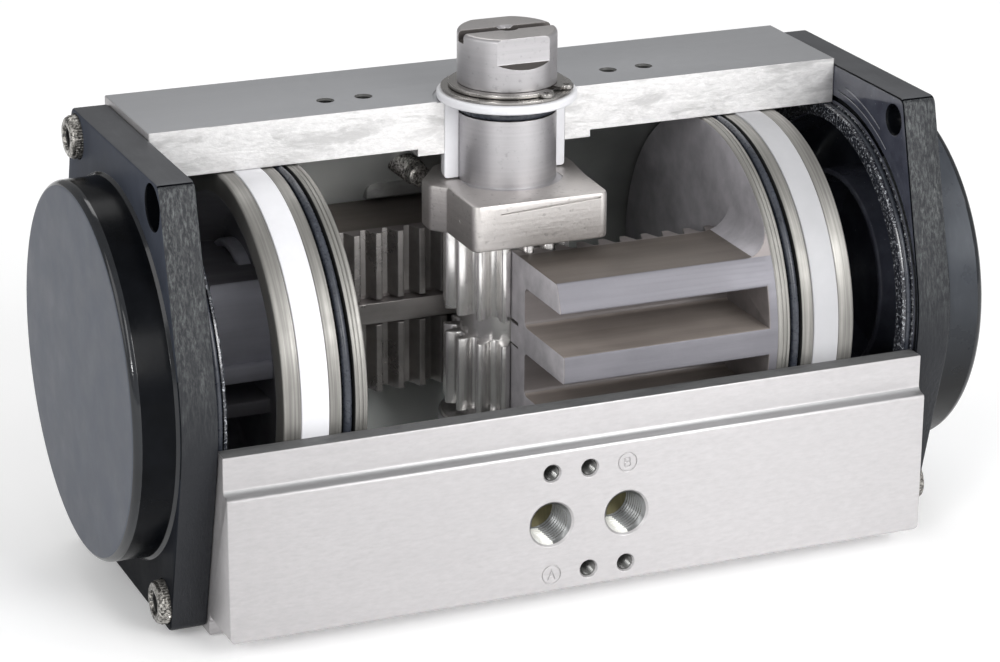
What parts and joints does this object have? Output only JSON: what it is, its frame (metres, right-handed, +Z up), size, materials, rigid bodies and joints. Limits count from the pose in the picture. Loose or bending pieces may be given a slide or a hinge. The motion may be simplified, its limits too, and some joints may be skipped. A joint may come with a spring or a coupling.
{
  "type": "pneumatic rack and pinion valve actuator",
  "caption": "Cutaway double-acting pneumatic quarter-turn valve actuator: opposed pistons with racks turn a central pinion shaft inside an extruded barrel with black end caps.",
  "frame": {"origin": "on the pinion axis, in the plane of the bottom mounting face", "axes": "+X along the cylinder bore towards the right end cap, +Z up along the pinion shaft, +Y away from the solenoid pad"},
  "size_m": [0.27, 0.1276, 0.1588],
  "materials": {
    "aluminium": "anodised, fine brushed grain",
    "black_paint": "semi-gloss black powder coat",
    "steel": "stainless, turned",
    "nickel": "nickel plated, machined",
    "piston_metal": "cast, grey-brown, machined lands",
    "white_plastic": "white bearing plastic",
    "rubber": "black nitrile"
  },
  "bodies": {
    "housing": {"body": "aluminium", "right_end_cap": "black_paint", "left_end_cap": "black_paint", "right_cap_seal": "rubber", "left_cap_seal": "rubber", "left_cap_screw_rear_top": "steel", "left_cap_screw_rear_bottom": "steel", "left_cap_screw_front_bottom": "steel", "right_cap_screw_rear_top": "steel", "right_cap_screw_rear_bottom": "steel", "right_cap_screw_front_bottom": "steel", "left_stop_lock_nut": "steel", "right_stop_lock_nut": "steel", "upper_bush": "white_plastic", "lower_bush": "white_plastic", "thrust_washer": "white_plastic"},
    "pinion_shaft": {"pinion": "nickel", "stop_cam": "nickel", "steel_washer": "steel", "retaining_ring": "steel", "upper_shaft_seal": "rubber", "lower_shaft_seal": "rubber"},
    "right_piston_assembly": {"right_piston": "piston_metal", "right_guide_band": "white_plastic", "right_piston_seal": "rubber"},
    "left_piston_assembly": {"left_piston": "piston_metal", "left_guide_band": "white_plastic", "left_piston_seal": "rubber"},
    "left_stop": {"left_stop_screw": "steel"},
    "right_stop": {"right_stop_screw": "steel"}
  },
  "joints": [
    {"name": "pinion_turn", "type": "hinge", "parent": "housing", "child": "pinion_shaft", "pos_m": [0, 0, 0.069], "axis": [0, 0, -1], "range_deg": [0, 90]},
    {"name": "right_piston_slide", "type": "slide", "parent": "housing", "child": "right_piston_assembly", "axis": [-1, 0, 0], "range_m": [0, 0.02652]},
    {"name": "left_piston_slide", "type": "slide", "parent": "housing", "child": "left_piston_assembly", "axis": [1, 0, 0], "range_m": [0, 0.02652]},
    {"name": "left_stop_adjust", "type": "slide", "parent": "housing", "child": "left_stop", "axis": [0, 1, 0], "range_m": [0, 0.004]},
    {"name": "right_stop_adjust", "type": "slide", "parent": "housing", "child": "right_stop", "axis": [0, 1, 0], "range_m": [0, 0.004]}
  ],
  "couplings": [
    {"joint": "right_piston_slide", "follows": "pinion_turn", "m_per_rad": 0.016875},
    {"joint": "left_piston_slide", "follows": "pinion_turn", "m_per_rad": 0.016875}
  ]
}
